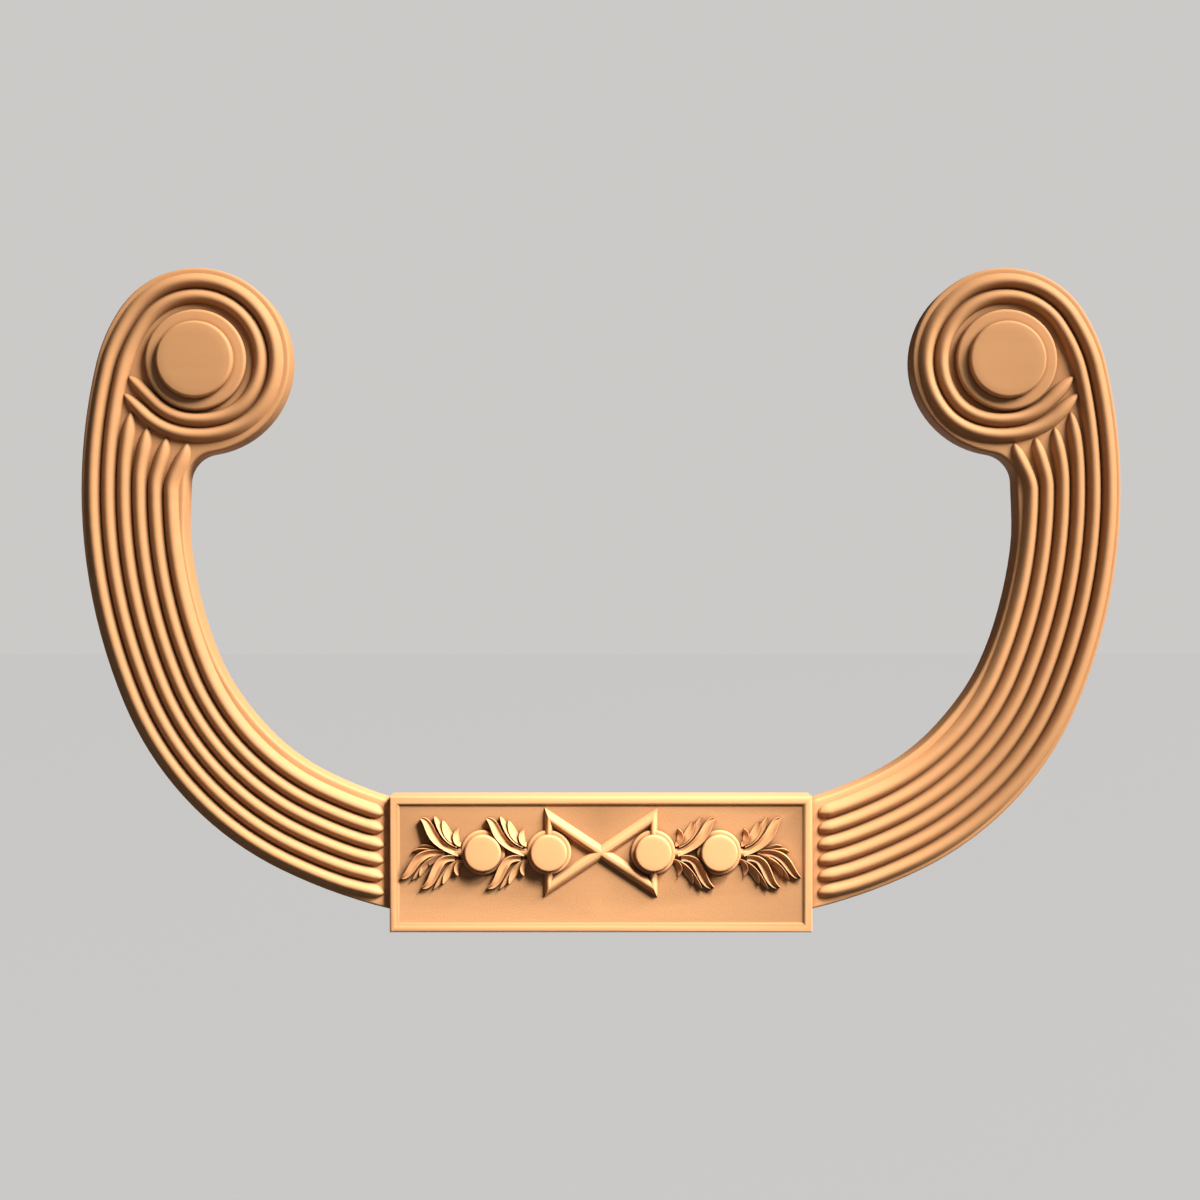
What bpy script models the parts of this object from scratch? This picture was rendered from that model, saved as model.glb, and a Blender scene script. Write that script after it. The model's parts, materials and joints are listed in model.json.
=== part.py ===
"""A scroll onlay carved from one wooden board.

Two reeded arms curl from a framed tablet up into volutes. The onlay is modelled
lying face up, as on a bench: X runs across, Y up the ornament and Z out of the
board. An empty then stands it upright, with its flat back towards +Y.
"""
import math

import bmesh
import bpy
from mathutils import Vector

# Driving dimensions, in metres and degrees

# Board
ARM_THICKNESS = 0.0155
SHOULDER_ROUND = 0.0012
CHORD_ERROR = 0.00025
SEARCH_STEP = 0.0005

# Outer edge of an arm: tangent arcs, from the tablet's side up to the volute
FOOT_DROP = 0.0230
FOOT_ANGLE = 256.5
FOOT_RADIUS = 0.2685
FOOT_SWEEP = 12.45
HAUNCH_RADIUS = 0.1623
HAUNCH_SWEEP = 41.4
SIDE_RADIUS = 0.2775
SIDE_SWEEP = 35.85
CROWN_RADIUS = 0.0845
CROWN_SWEEP = 19.8
VOLUTE_RADIUS = 0.0466
ARM_WIDTH = 0.0504
HAUNCH_WIDTH = 0.0524
WIDENING_START = 0.200
WIDENING_END = 0.120
THROAT_RADIUS = 0.0150
THROAT_FLARE = 0.0018
THROAT_FLARE_LENGTH = 0.040

# Reeds
REED_COUNT = 6
REED_PITCH = 0.0078
REED_HALF_WIDTH = 0.00385
REED_HEIGHT = 0.0035
REED_MARGIN = 0.0021
REED_FACETS = 4
REED_ROOT = 0.0012
WRAPPING_REEDS = 2
FOOT_MARGIN_GROWTH = 0.0013
FOOT_MARGIN_LENGTH = 0.030
FOOT_GAP = 0.0030
FOOT_TIP_LENGTH = 0.0080
FOOT_TIP_STATIONS = (0.0, 0.06, 0.25, 0.6)
VOLUTE_MARGIN_GROWTH = 0.0007
VOLUTE_MARGIN_LENGTH = 0.036
WRAP_DRIFT = 0.0025
WRAP_DRIFT_START = -40.0
WRAP_DRIFT_END = -95.0
WRAP_END = -135.0
WRAP_TAILS = (0.0140, 0.0184)
WRAP_TIP_LENGTH = 0.0090
SCROLL_TIP_CLEARANCE = 0.0003
SCROLL_TIP_LENGTH = 0.0110
SCROLL_TIP_SHIFT = 0.0008
SCROLL_TIP_STATIONS = (0.0, 0.05, 0.2, 0.5)
SCROLL_TIP_FLARE = 0.0064
SCROLL_FLARE_LENGTH = 0.026
FLARE_STATIONS = (0.8, 0.55)
TIP_NARROWEST = 0.03

# Boss in the middle of a volute
BOSS_RING_RADIUS = 0.0253
BOSS_RING_HEIGHT = 0.0034
BOSS_TOP_RADIUS = 0.0187
BOSS_TOP_HEIGHT = 0.0032
BOSS_FLARE = 0.0010
BOSS_ROUND = 0.0012
BOSS_SEGMENTS = 28

# Tablet
TABLET_WIDTH = 0.2106
TABLET_HEIGHT = 0.0676
TABLET_FIELD = 0.0182
FRAME_WIDTH = 0.0047
FRAME_RISE = 0.0018
FRAME_EDGE = 0.0016
FRAME_FACETS = 5
ARM_ENTRY = 0.015

# Bow of bars and the discs, centred a little above the tablet's middle
ORNAMENT_RAISE = 0.0060
BOW_HALF_HEIGHT = 0.0225
DISC_PITCH = 0.0328
INNER_DISC_OFFSET = 0.0260
DIAGONAL_HALF_WIDTH = 0.0031
UPRIGHT_HALF_WIDTH = 0.0022
BAR_RISE = 0.0030
BAR_OVERRUN = 1.2
MITRE_OVERLAP = 0.00005
BAR_FACETS = 4
DISC_TOP_RADIUS = 0.0085
DISC_COLLAR_RADIUS = 0.0112
DISC_COLLAR_HEIGHT = 0.0018
DISC_TOP_HEIGHT = 0.0058
DISC_FLARE = 0.0007
DISC_ROUND = 0.0008
DISC_SEGMENTS = 18

# Leaves. The section runs from the outer foot of a lobe over its crest to the inner foot.
LEAF_RISE = 0.0036
LEAF_ROOT = 0.0008
LEAF_STATIONS = (0.0, 0.25, 0.5, 0.75, 0.93)
LEAF_CREST = 0.08
LEAF_SECTION = ((0.0, 0.0), (LEAF_CREST, 1.0), (0.66, 0.42), (1.0, 0.0))
LEAF_ROOT_WIDTH = 0.65
LEAF_ROOT_RISE = 0.55
LEAF_ROOT_LENGTH = 0.4
LEAF_TIP_START = 0.7
LEAF_TIP_FALL = 0.35
STEM_HALF_WIDTH = 0.0027
STEM_RISE = 0.0028
STEM_REACH = (-0.0160, -0.0006)
STEM_TIP_LENGTH = 0.0046
STEM_TIP_STATIONS = (0.0, 0.3, 1.0)

COLLECTION_NAME = "scroll_onlay"
WOOD_COLOUR = (0.73, 0.42, 0.20, 1.0)


# Small helpers
def clear_scene():
    for item in list(bpy.data.objects):
        bpy.data.objects.remove(item, do_unlink=True)


def new_collection(name):
    collection = bpy.data.collections.new(name)
    bpy.context.scene.collection.children.link(collection)
    return collection


def wood():
    material = bpy.data.materials.new("carved_wood")
    material.use_nodes = True
    shader = material.node_tree.nodes["Principled BSDF"]
    shader.inputs["Base Color"].default_value = WOOD_COLOUR
    shader.inputs["Roughness"].default_value = 0.5
    shader.inputs["Metallic"].default_value = 0.0
    return material


def smoothstep(start, end, value):
    share = min(max((value - start) / (end - start), 0.0), 1.0)
    return share * share * (3.0 - 2.0 * share)


def direction(angle):
    return Vector((math.cos(angle), math.sin(angle)))


def add_mesh(name, bm, collection):
    bmesh.ops.recalc_face_normals(bm, faces=bm.faces)
    mesh = bpy.data.meshes.new(name)
    bm.to_mesh(mesh)
    bm.free()
    item = bpy.data.objects.new(name, mesh)
    collection.objects.link(item)
    return item


def as_cutter(item):
    item.hide_render = True
    item.display_type = "WIRE"
    return item


def mesh_from_curve(item, collection):
    """Turn a curve object into a welded mesh object and remove the curve."""
    evaluated = item.evaluated_get(bpy.context.evaluated_depsgraph_get())
    mesh = bpy.data.meshes.new_from_object(evaluated)
    name = item.name
    matrix = item.matrix_world.copy()
    bpy.data.objects.remove(item, do_unlink=True)
    bm = bmesh.new()
    bm.from_mesh(mesh)
    bmesh.ops.remove_doubles(bm, verts=bm.verts, dist=0.00001)
    solid = add_mesh(name, bm, collection)
    solid.matrix_world = matrix
    return solid


# Outer edge of an arm
def edge_arcs():
    """Arcs of the left arm's outer edge as (centre, radius, start angle, sweep).

    Each arc shares its end point and its tangent with the next. The angles fall
    as the edge runs from the tablet, up the left side and over the volute.
    """
    spans = (
        (FOOT_RADIUS, FOOT_SWEEP),
        (HAUNCH_RADIUS, HAUNCH_SWEEP),
        (SIDE_RADIUS, SIDE_SWEEP),
        (CROWN_RADIUS, CROWN_SWEEP),
    )
    angle = math.radians(FOOT_ANGLE)
    point = Vector((-TABLET_WIDTH / 2, -FOOT_DROP))
    arcs = []
    for radius, sweep in spans:
        centre = point - direction(angle) * radius
        arcs.append((centre, radius, angle, math.radians(sweep)))
        angle -= math.radians(sweep)
        point = centre + direction(angle) * radius
    centre = point - direction(angle) * VOLUTE_RADIUS
    arcs.append((centre, VOLUTE_RADIUS, angle, angle - math.radians(WRAP_END)))
    return arcs


ARCS = edge_arcs()
SIDE_ARC = ARCS[2]
VOLUTE_ARC = ARCS[-1]
VOLUTE_CENTRE = VOLUTE_ARC[0]
ARC_LENGTHS = [radius * sweep for _, radius, _, sweep in ARCS]
EDGE_LENGTH = sum(ARC_LENGTHS)
VOLUTE_START = EDGE_LENGTH - ARC_LENGTHS[-1]


def edge_at(distance):
    """Point and inward normal of the outer edge at a distance along it."""
    left = min(max(distance, 0.0), EDGE_LENGTH)
    index = 0
    while index < len(ARCS) - 1 and left > ARC_LENGTHS[index]:
        left -= ARC_LENGTHS[index]
        index += 1
    centre, radius, start, _ = ARCS[index]
    outward = direction(start - left / radius)
    return centre + outward * radius, -outward


def volute_distance(angle):
    """Distance along the edge at which the volute has the given angle."""
    return VOLUTE_START + (VOLUTE_ARC[2] - math.radians(angle)) * VOLUTE_RADIUS


def stations(first, last):
    """Distances between first and last, closer together on the tighter arcs."""
    marks = [first]
    start = 0.0
    for (_, radius, _, sweep), length in zip(ARCS, ARC_LENGTHS):
        step = 2.0 * math.acos(1.0 - CHORD_ERROR / radius)
        count = math.ceil(sweep / step)
        marks += [start + length * i / count for i in range(count)]
        start += length
    marks = [mark for mark in marks if first < mark < last]
    return [first] + marks + [last]


# Arm board
def arm_width(distance, throat_distance):
    share = smoothstep(WIDENING_END, WIDENING_START, distance)
    flare = smoothstep(throat_distance - THROAT_FLARE_LENGTH, throat_distance, distance)
    return HAUNCH_WIDTH + (ARM_WIDTH - HAUNCH_WIDTH) * share + THROAT_FLARE * flare


def throat():
    """Circle that rounds the inner corner between the arm and the volute."""
    centre, radius, _, _ = SIDE_ARC
    reach = radius - ARM_WIDTH - THROAT_FLARE - THROAT_RADIUS
    gap = VOLUTE_CENTRE - centre
    span = gap.length
    target = VOLUTE_RADIUS + THROAT_RADIUS
    along = (reach ** 2 - target ** 2 + span ** 2) / (2 * span)
    across = math.sqrt(max(reach ** 2 - along ** 2, 0.0))
    axis = gap.normalized()
    side = Vector((axis.y, -axis.x))
    candidates = (centre + axis * along + side * across, centre + axis * along - side * across)
    return min(candidates, key=lambda point: point.y)


def board_outline():
    middle = throat()
    to_volute = VOLUTE_CENTRE - middle
    to_arm = middle - SIDE_ARC[0]
    volute_angle = math.degrees(math.atan2(-to_volute.y, -to_volute.x))
    points = [edge_at(mark)[0] for mark in stations(0.0, volute_distance(volute_angle))]

    start = math.atan2(to_volute.y, to_volute.x)
    end = math.atan2(to_arm.y, to_arm.x)
    sweep = (end - start) % (2 * math.pi)
    count = math.ceil(sweep / (2.0 * math.acos(1.0 - CHORD_ERROR / THROAT_RADIUS)))
    for i in range(1, count + 1):
        points.append(middle + direction(start + sweep * i / count) * THROAT_RADIUS)

    side_start = ARC_LENGTHS[0] + ARC_LENGTHS[1]
    arm_angle = math.atan2(to_arm.y, to_arm.x) % (2 * math.pi)
    last = side_start + (SIDE_ARC[2] - arm_angle) * SIDE_ARC[1]
    inner = []
    for mark in stations(0.0, last)[:-1]:
        point, inward = edge_at(mark)
        inner.append(point + inward * arm_width(mark, last))
    points += reversed(inner)

    inside = -TABLET_WIDTH / 2 + ARM_ENTRY
    points.append(Vector((inside, inner[0].y)))
    points.append(Vector((inside, -FOOT_DROP)))
    return points


def arm_board(collection):
    """Flat board of an arm and its volute, its front corner rounded all round."""
    curve = bpy.data.curves.new("arm_board", "CURVE")
    curve.dimensions = "2D"
    curve.fill_mode = "BOTH"
    curve.extrude = ARM_THICKNESS / 2
    curve.resolution_u = 1
    curve.render_resolution_u = 0
    outline = board_outline()
    spline = curve.splines.new("POLY")
    spline.points.add(len(outline) - 1)
    for target, point in zip(spline.points, outline):
        target.co = (point.x, point.y, 0.0, 1.0)
    spline.use_cyclic_u = True
    item = bpy.data.objects.new("arm_board", curve)
    collection.objects.link(item)
    item.location.z = ARM_THICKNESS / 2
    bpy.context.view_layer.update()
    board = mesh_from_curve(item, collection)

    bm = bmesh.new()
    bm.from_mesh(board.data)
    bmesh.ops.dissolve_limit(
        bm, angle_limit=math.radians(0.2), verts=bm.verts[:], edges=bm.edges[:]
    )
    weight = bm.edges.layers.float.new("bevel_weight_edge")
    for edge in bm.edges:
        if all(vert.co.z > ARM_THICKNESS / 4 for vert in edge.verts):
            edge[weight] = 1.0
    bm.to_mesh(board.data)
    bm.free()
    bevel = board.modifiers.new("shoulder", "BEVEL")
    bevel.limit_method = "WEIGHT"
    bevel.width = SHOULDER_ROUND
    bevel.segments = 2
    return board


# Reeds
def reed_profile(name, half_width, rise, root, facets, collection):
    """Closed half-round section that a bar or reed is drawn along."""
    curve = bpy.data.curves.new(name, "CURVE")
    curve.dimensions = "2D"
    curve.fill_mode = "NONE"
    curve.render_resolution_u = 0
    points = []
    for i in range(facets + 1):
        angle = math.pi * i / facets
        points.append((half_width * math.cos(angle), rise * math.sin(angle)))
    points += [(-half_width, -root), (half_width, -root)]
    spline = curve.splines.new("POLY")
    spline.points.add(len(points) - 1)
    for target, (across, up) in zip(spline.points, points):
        target.co = (across, up, 0.0, 1.0)
    spline.use_cyclic_u = True
    item = bpy.data.objects.new(name, curve)
    collection.objects.link(item)
    return item


def drawn_bar(name, path, profile, level, collection):
    """Solid swept along (point, scale) pairs with the given section."""
    curve = bpy.data.curves.new(name, "CURVE")
    curve.dimensions = "3D"
    curve.twist_mode = "Z_UP"
    curve.bevel_mode = "OBJECT"
    curve.bevel_object = profile
    curve.use_fill_caps = True
    curve.render_resolution_u = 0
    spline = curve.splines.new("POLY")
    spline.points.add(len(path) - 1)
    for target, (point, scale) in zip(spline.points, path):
        target.co = (point.x, point.y, level, 1.0)
        target.radius = scale
    item = bpy.data.objects.new(name, curve)
    collection.objects.link(item)
    bpy.context.view_layer.update()
    return mesh_from_curve(item, collection)


def reed_offset(index, distance):
    """Distance of a reed's crest from the outer edge, at a place along the edge."""
    volute_share = smoothstep(VOLUTE_START - VOLUTE_MARGIN_LENGTH, VOLUTE_START, distance)
    drift_share = smoothstep(
        volute_distance(WRAP_DRIFT_START), volute_distance(WRAP_DRIFT_END), distance
    )
    foot_share = 1.0 - smoothstep(0.0, FOOT_MARGIN_LENGTH, distance)
    margin = REED_MARGIN + FOOT_MARGIN_GROWTH * foot_share
    margin += VOLUTE_MARGIN_GROWTH * volute_share + WRAP_DRIFT * drift_share
    return margin + (index + 0.5) * REED_PITCH


def reed_point(index, distance, flare=0.0):
    """Point on a reed's crest line. Past the edge's end it runs on straight."""
    point, inward = edge_at(distance)
    point = point + inward * (reed_offset(index, distance) + flare)
    if distance > EDGE_LENGTH:
        ahead = Vector((-inward.y, inward.x))
        point = point + ahead * (distance - EDGE_LENGTH)
    return point


def foot_start(index):
    """Place along the edge where a reed begins, just clear of the tablet's side."""
    limit = -TABLET_WIDTH / 2 - FOOT_GAP
    distance = 0.0
    while reed_point(index, distance).x > limit:
        distance += SEARCH_STEP
    return distance


def scroll_end(index):
    """Place along the edge where an ending reed comes up to the wrapped reeds."""
    reach = VOLUTE_RADIUS - reed_offset(0, EDGE_LENGTH)
    reach += REED_HALF_WIDTH + SCROLL_TIP_CLEARANCE
    share = (index - WRAPPING_REEDS) / max(REED_COUNT - 1 - WRAPPING_REEDS, 1)
    flare = SCROLL_TIP_SHIFT + SCROLL_TIP_FLARE * share ** 1.5
    distance = VOLUTE_START / 2
    while distance < VOLUTE_START:
        if (reed_point(index, distance, flare) - VOLUTE_CENTRE).length <= reach:
            break
        distance += SEARCH_STEP
    return distance, flare


def tip_scale(distance, length):
    """Share of a reed's full section at a distance from its rounded end."""
    share = min(max(distance / length, 0.0), 1.0)
    return max(math.sqrt(1.0 - (1.0 - share) ** 2), TIP_NARROWEST)


def reed_path(index):
    first = foot_start(index)
    flare_height = 0.0
    if index < WRAPPING_REEDS:
        last = EDGE_LENGTH + WRAP_TAILS[index]
        tip = WRAP_TIP_LENGTH
    else:
        last, flare_height = scroll_end(index)
        tip = SCROLL_TIP_LENGTH
    marks = [first + FOOT_TIP_LENGTH * share for share in FOOT_TIP_STATIONS]
    marks += stations(first + FOOT_TIP_LENGTH, last - tip)
    if flare_height > 0.0:
        marks += [last - SCROLL_FLARE_LENGTH * share for share in FLARE_STATIONS]
        marks.sort()
    marks += [last - tip * share for share in reversed(SCROLL_TIP_STATIONS)]
    path = []
    for mark in marks:
        flare = flare_height * smoothstep(last - SCROLL_FLARE_LENGTH, last, mark)
        scale = tip_scale(mark - first, FOOT_TIP_LENGTH) * tip_scale(last - mark, tip)
        path.append((reed_point(index, mark, flare), scale))
    return path


def reeds(collection, guides):
    profile = reed_profile(
        "reed_profile", REED_HALF_WIDTH, REED_HEIGHT, REED_ROOT, REED_FACETS, guides
    )
    made = []
    for index in range(REED_COUNT):
        name = f"reed_{index + 1}"
        made.append(drawn_bar(name, reed_path(index), profile, ARM_THICKNESS, collection))
    bpy.data.objects.remove(profile, do_unlink=True)
    return made


# Turned shapes
def turned(name, profile, centre, segments, collection):
    """Solid of revolution; the profile runs from the top centre down the outside."""
    mesh = bpy.data.meshes.new(name)
    points = [(radius, 0.0, height) for radius, height in profile]
    edges = [(i, i + 1) for i in range(len(points) - 1)]
    mesh.from_pydata(points, edges, [])
    item = bpy.data.objects.new(name, mesh)
    collection.objects.link(item)
    item.location = (centre.x, centre.y, 0.0)
    screw = item.modifiers.new("turn", "SCREW")
    screw.steps = segments
    screw.render_steps = segments
    screw.use_merge_vertices = True
    screw.merge_threshold = 0.0001
    return item


def stepped_button(name, centre, level, collar, top, segments, collection):
    """Button with a round collar; collar and top are (radius, height, round) sizes."""
    collar_radius, collar_height, collar_round = collar
    top_radius, top_height, flare = top
    ring = level + collar_height
    crown = ring + top_height
    profile = [
        (0.0, crown),
        (top_radius - collar_round, crown),
        (top_radius, crown - collar_round / 2),
        (top_radius + flare, ring),
        (collar_radius - collar_round, ring),
        (collar_radius, ring - collar_round),
        (collar_radius, level - REED_ROOT),
        (0.0, level - REED_ROOT),
    ]
    return turned(name, profile, centre, segments, collection)


def volute_boss(collection):
    collar = (BOSS_RING_RADIUS, BOSS_RING_HEIGHT, BOSS_ROUND)
    top = (BOSS_TOP_RADIUS, BOSS_TOP_HEIGHT, BOSS_FLARE)
    return stepped_button(
        "boss", VOLUTE_CENTRE, ARM_THICKNESS, collar, top, BOSS_SEGMENTS, collection
    )


def disc_centres():
    inner = Vector((-INNER_DISC_OFFSET, ORNAMENT_RAISE))
    outer = inner - Vector((DISC_PITCH, 0.0))
    return inner, outer


def tablet_discs(collection):
    collar = (DISC_COLLAR_RADIUS, DISC_COLLAR_HEIGHT, DISC_ROUND)
    top = (DISC_TOP_RADIUS, DISC_TOP_HEIGHT - DISC_COLLAR_HEIGHT, DISC_FLARE)
    made = []
    for number, centre in enumerate(disc_centres(), start=1):
        name = f"disc_{number}"
        made.append(
            stepped_button(name, centre, TABLET_FIELD, collar, top, DISC_SEGMENTS, collection)
        )
    return made


# Tablet
def tablet(collection):
    """Board whose front is inset step by step into a half-round bead frame."""
    bm = bmesh.new()
    bmesh.ops.create_cube(bm, size=1.0)
    edge_height = TABLET_FIELD + FRAME_EDGE
    bmesh.ops.scale(bm, vec=(TABLET_WIDTH, TABLET_HEIGHT, edge_height), verts=bm.verts)
    bmesh.ops.translate(bm, vec=(0.0, 0.0, edge_height / 2), verts=bm.verts)
    field = max(bm.faces, key=lambda face: face.calc_center_median().z)
    previous = 0.0
    height = FRAME_EDGE
    for i in range(1, FRAME_FACETS + 1):
        angle = math.pi * i / FRAME_FACETS
        share = (1.0 - math.cos(angle)) / 2
        across = FRAME_WIDTH * share
        rise = FRAME_EDGE * (1.0 - share) + FRAME_RISE * math.sin(angle)
        bmesh.ops.inset_region(bm, faces=[field], thickness=across - previous)
        bmesh.ops.translate(bm, vec=(0.0, 0.0, rise - height), verts=field.verts)
        previous = across
        height = rise
    return add_mesh("tablet", bm, collection)


def bow_size():
    """Half width of the bow and half height of its waist, where the diagonals cross."""
    side = INNER_DISC_OFFSET + UPRIGHT_HALF_WIDTH
    slope = math.atan2(BOW_HALF_HEIGHT - DIAGONAL_HALF_WIDTH, side)
    return side, DIAGONAL_HALF_WIDTH / math.cos(slope)


def bow_mitre():
    """Outer and inner corner, where a diagonal meets the upright at the bow's side."""
    side, waist = bow_size()
    inner = side - 2 * UPRIGHT_HALF_WIDTH
    fall = (BOW_HALF_HEIGHT - waist) / side
    return Vector((side, BOW_HALF_HEIGHT)), Vector((inner, inner * fall - waist))


def bow_block(name, corners, guides):
    """Prism over the given corners, which trims bars of the bow."""
    curve = bpy.data.curves.new(name, "CURVE")
    curve.dimensions = "2D"
    curve.fill_mode = "BOTH"
    curve.extrude = TABLET_FIELD
    curve.render_resolution_u = 0
    spline = curve.splines.new("POLY")
    spline.points.add(len(corners) - 1)
    for target, corner in zip(spline.points, corners):
        target.co = (corner.x, corner.y + ORNAMENT_RAISE, 0.0, 1.0)
    spline.use_cyclic_u = True
    item = bpy.data.objects.new(name, curve)
    guides.objects.link(item)
    item.location.z = TABLET_FIELD
    bpy.context.view_layer.update()
    return mesh_from_curve(item, guides)


def bow_blocks(guides):
    """Prisms for the diagonals and for each upright, meeting in the four mitres."""
    _, waist = bow_size()
    outer, inner = bow_mitre()
    right = [outer, inner, Vector((inner.x, -inner.y)), Vector((outer.x, -outer.y))]
    left = [Vector((-corner.x, corner.y)) for corner in reversed(right)]
    top = Vector((0.0, waist))
    wide = [corner + Vector((MITRE_OVERLAP, 0.0)) for corner in right]
    middle = wide + [-top] + [-corner for corner in wide] + [top]
    return (
        bow_block("middle_block", middle, guides),
        bow_block("left_block", left, guides),
        bow_block("right_block", right, guides),
    )


def bow(collection, guides):
    """Bars of the bow: two crossing diagonals and an upright at each side."""
    diagonal = reed_profile(
        "diagonal_profile", DIAGONAL_HALF_WIDTH, BAR_RISE, LEAF_ROOT, BAR_FACETS, guides
    )
    upright = reed_profile(
        "upright_profile", UPRIGHT_HALF_WIDTH, BAR_RISE, LEAF_ROOT, BAR_FACETS, guides
    )
    side, waist = bow_size()
    rise = BOW_HALF_HEIGHT - waist
    centre = Vector((0.0, ORNAMENT_RAISE))
    offset = Vector((INNER_DISC_OFFSET, 0.0))
    half = Vector((0.0, BOW_HALF_HEIGHT))
    middle_block, left_block, right_block = bow_blocks(guides)
    bars = (
        ("diagonal_rising", centre, Vector((side, rise)), diagonal, middle_block),
        ("diagonal_falling", centre, Vector((side, -rise)), diagonal, middle_block),
        ("upright_left", centre - offset, half, upright, left_block),
        ("upright_right", centre + offset, half, upright, right_block),
    )
    made = []
    for name, middle, reach, profile, block in bars:
        path = [(middle - reach * BAR_OVERRUN, 1.0), (middle + reach * BAR_OVERRUN, 1.0)]
        item = drawn_bar(name, path, profile, TABLET_FIELD, collection)
        trim = item.modifiers.new("trim", "BOOLEAN")
        trim.operation = "INTERSECT"
        trim.solver = "EXACT"
        trim.object = block
        made.append(item)
    for item in (diagonal, upright):
        bpy.data.objects.remove(item, do_unlink=True)
    return made, [middle_block, left_block, right_block]


# Leaves: each lobe follows its crest, a curve from its root, past two handles, to its tip.
# Places, width and share of the rise are measured from the middle of the disc beside the leaf.
UPPER_LEAF = (
    ((-0.0125, -0.0018), (-0.0300, 0.0046), (-0.0272, 0.0126), (-0.0312, 0.0170), 0.0064, 1.00),
    ((-0.0130, 0.0026), (-0.0186, 0.0046), (-0.0230, 0.0108), (-0.0240, 0.0172), 0.0036, 0.88),
    ((-0.0128, 0.0034), (-0.0182, 0.0058), (-0.0210, 0.0100), (-0.0203, 0.0152), 0.0050, 0.84),
    ((-0.0108, 0.0030), (-0.0142, 0.0036), (-0.0168, 0.0086), (-0.0128, 0.0116), 0.0036, 0.78),
)
LOWER_LEAF = (
    ((-0.0138, -0.0016), (-0.0275, 0.0002), (-0.0242, -0.0134), (-0.0312, -0.0168), 0.0062, 1.00),
    ((-0.0105, -0.0034), (-0.0170, -0.0048), (-0.0208, -0.0100), (-0.0233, -0.0168), 0.0034, 0.90),
    ((-0.0120, -0.0042), (-0.0160, -0.0052), (-0.0206, -0.0090), (-0.0200, -0.0148), 0.0046, 0.84),
    ((-0.0105, -0.0036), (-0.0140, -0.0040), (-0.0162, -0.0078), (-0.0122, -0.0110), 0.0032, 0.76),
)
FAR_LEAF = (
    ((-0.0190, 0.0008), (-0.0365, 0.0042), (-0.0358, -0.0086), (-0.0412, -0.0124), 0.0060, 1.00),
    ((-0.0190, -0.0002), (-0.0280, -0.0030), (-0.0320, -0.0065), (-0.0346, -0.0126), 0.0034, 0.90),
    ((-0.0220, -0.0010), (-0.0275, -0.0032), (-0.0324, -0.0060), (-0.0318, -0.0112), 0.0044, 0.84),
    ((-0.0205, -0.0008), (-0.0245, -0.0012), (-0.0284, -0.0034), (-0.0262, -0.0066), 0.0028, 0.76),
    ((-0.0210, 0.0008), (-0.0250, 0.0036), (-0.0285, 0.0048), (-0.0318, 0.0030), 0.0028, 0.66),
    ((-0.0230, 0.0008), (-0.0280, 0.0022), (-0.0320, 0.0030), (-0.0352, 0.0004), 0.0026, 0.76),
)


def bezier(points, share):
    """Point and direction on a cubic curve with four handles."""
    start, first, second, end = (Vector(point) for point in points)
    rest = 1.0 - share
    place = start * rest ** 3 + first * 3 * rest ** 2 * share
    place += second * 3 * rest * share ** 2 + end * share ** 3
    ahead = (first - start) * rest ** 2 + (second - first) * 2 * rest * share
    ahead += (end - second) * share ** 2
    return place, ahead.normalized()


def lobe_width(share):
    """Width of a lobe along its crest, as a share: narrow root, closing round the tip."""
    growth = smoothstep(0.0, LEAF_ROOT_LENGTH, share)
    root = LEAF_ROOT_WIDTH + (1.0 - LEAF_ROOT_WIDTH) * growth
    fall = max(share - LEAF_TIP_START, 0.0) / (1.0 - LEAF_TIP_START)
    return root * math.sqrt(1.0 - fall ** 2)


def lobe_rise(share):
    """Height of a lobe's crest along it, as a share: low root, falling to the tip."""
    growth = smoothstep(0.0, LEAF_ROOT_LENGTH, share)
    root = LEAF_ROOT_RISE + (1.0 - LEAF_ROOT_RISE) * growth
    return root * (1.0 - LEAF_TIP_FALL * share ** 2)


def leaf_lobe(name, lobe, turn, disc, collection):
    """Lobe of a leaf, lofted along its high crest, falling away on the disc's side."""
    handles = lobe[:4]
    width, rise = lobe[4:]
    low = TABLET_FIELD - LEAF_ROOT
    bm = bmesh.new()
    sections = []
    for share in LEAF_STATIONS:
        place, ahead = bezier(handles, share)
        inward = Vector((ahead.y, -ahead.x)) * turn
        breadth = width * lobe_width(share)
        crest = LEAF_RISE * rise * lobe_rise(share)
        ring = []
        for across, height in LEAF_SECTION:
            spot = disc + place + inward * breadth * (across - LEAF_CREST)
            level = TABLET_FIELD + crest * height if height > 0.0 else low
            ring.append(bm.verts.new((spot.x, spot.y, level)))
        sections.append(ring)
    place, _ = bezier(handles, 1.0)
    tip = disc + place
    point = bm.verts.new((tip.x, tip.y, low))
    bm.faces.new(sections[0])
    count = len(LEAF_SECTION)
    for near, far in zip(sections, sections[1:]):
        for i in range(count):
            j = (i + 1) % count
            bm.faces.new((near[i], near[j], far[j], far[i]))
    for i in range(count):
        bm.faces.new((sections[-1][i], sections[-1][(i + 1) % count], point))
    return add_mesh(name, bm, collection)


def stems(collection, guides):
    """Short round stem from each disc into the roots of its leaves."""
    profile = reed_profile(
        "stem_profile", STEM_HALF_WIDTH, STEM_RISE, LEAF_ROOT, BAR_FACETS, guides
    )
    reach = Vector(STEM_REACH)
    made = []
    for label, disc in zip(("inner", "outer"), disc_centres()):
        path = [(disc, 1.0)]
        for share in reversed(STEM_TIP_STATIONS):
            left = STEM_TIP_LENGTH * share
            place = disc + reach * (1.0 - left / reach.length)
            path.append((place, tip_scale(left, STEM_TIP_LENGTH)))
        made.append(drawn_bar(f"{label}_stem", path, profile, TABLET_FIELD, collection))
    bpy.data.objects.remove(profile, do_unlink=True)
    return made


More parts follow.
